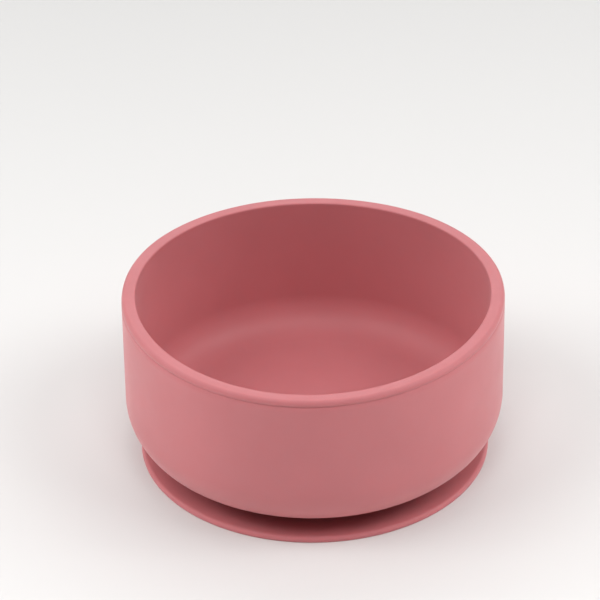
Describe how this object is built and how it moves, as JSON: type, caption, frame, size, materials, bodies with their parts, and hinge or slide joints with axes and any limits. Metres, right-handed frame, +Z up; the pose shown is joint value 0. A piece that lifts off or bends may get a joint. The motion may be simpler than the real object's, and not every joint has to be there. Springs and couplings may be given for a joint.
{
  "type": "suction bowl",
  "caption": "Round straight-walled silicone bowl for a baby, on a thin dished suction foot with a deep undercut above it and a tab at the back that peels the foot off the table.",
  "frame": {"origin": "on the table plane, on the bowl's axis: the centre of the ring that the foot seals on", "axes": "+Z up along the bowl's axis, +Y towards the back, where the release tab is, +X to the right seen from the front"},
  "size_m": [0.125, 0.1305, 0.058],
  "materials": {
    "bowl_silicone": "matte moulded silicone, dusty pink",
    "foot_silicone": "matte moulded silicone, dusty pink, softer grade"
  },
  "bodies": {
    "foot": {"suction_skirt": "foot_silicone"},
    "bowl": {"bowl_shell": "bowl_silicone", "foot_hub": "foot_silicone"},
    "tab": {"release_tab": "foot_silicone"}
  },
  "joints": [
    {"name": "suction_press", "type": "slide", "parent": "foot", "child": "bowl", "axis": [0, 0, -1], "range_m": [0, 0.0016], "stiffness_N_per_m": 10000},
    {"name": "tab_lift", "type": "hinge", "parent": "foot", "child": "tab", "pos_m": [0, 0.05895, 0.00095], "axis": [1, 0, 0], "range_deg": [0, 60], "stiffness_Nm_per_rad": 0.002}
  ]
}
